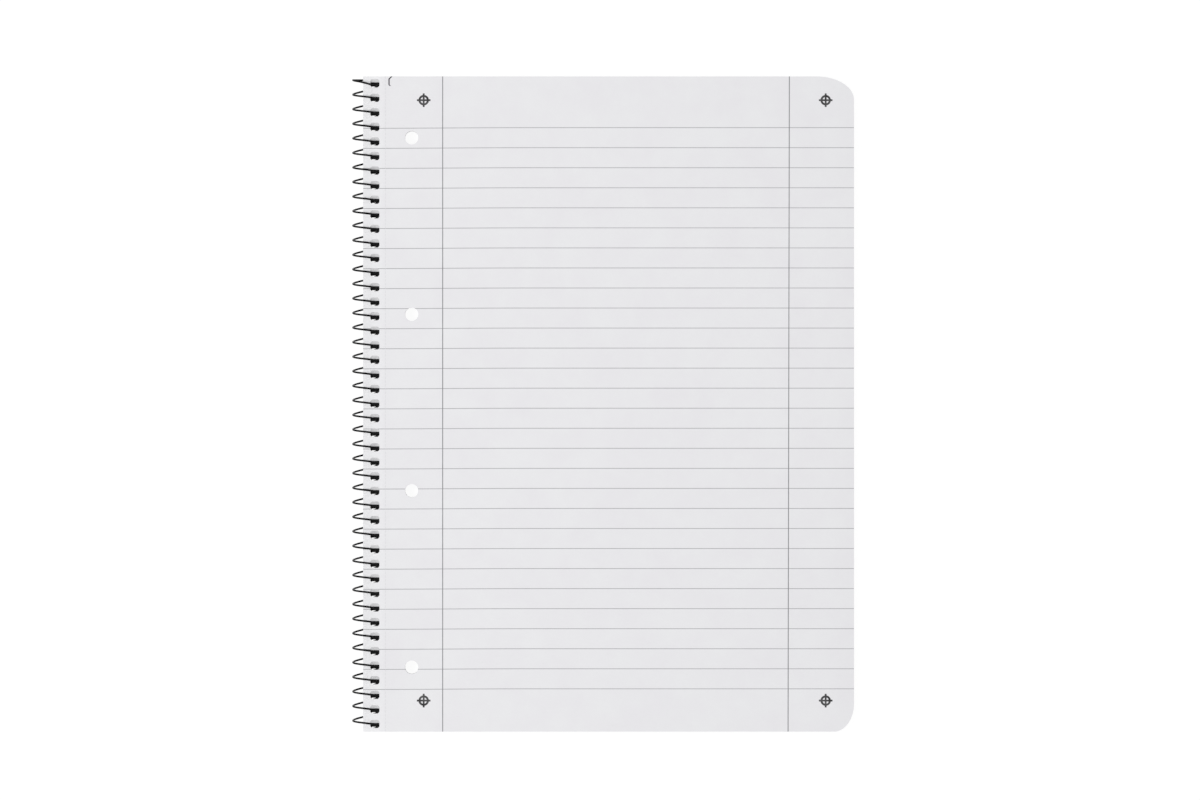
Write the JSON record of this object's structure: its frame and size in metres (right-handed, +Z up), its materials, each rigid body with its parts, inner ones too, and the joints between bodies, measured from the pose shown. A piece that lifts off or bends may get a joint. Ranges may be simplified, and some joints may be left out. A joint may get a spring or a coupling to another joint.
{
  "type": "spiral notebook",
  "caption": "Wire-bound ruled notebook lying open at a page, both covers folded behind on hinges, with filing holes and rounded free corners.",
  "frame": {"origin": "centre of the footprint, on the surface the notebook lies on", "axes": "+X from the wire towards the free edge of the sheets, +Y along the wire towards the head of the page, +Z up out of the open page"},
  "size_m": [0.2276, 0.297, 0.0123],
  "materials": {
    "paper": "uncoated smooth writing paper",
    "cover_board": "matt laminated board",
    "coated_wire": "satin plastic-coated steel wire"
  },
  "bodies": {
    "sheets": {"page_block": "paper", "wire_coil": "coated_wire"},
    "back_cover": {"back_cover": "cover_board"},
    "front_cover": {"front_cover": "cover_board"}
  },
  "joints": [
    {"name": "back_cover_swing", "type": "hinge", "parent": "sheets", "child": "back_cover", "pos_m": [-0.10763, 0, 0.00614], "axis": [0, 1, 0], "range_deg": [0, 180]},
    {"name": "front_cover_swing", "type": "hinge", "parent": "back_cover", "child": "front_cover", "pos_m": [-0.10763, 0, 0.00614], "axis": [0, 1, 0], "range_deg": [0, 180]}
  ]
}
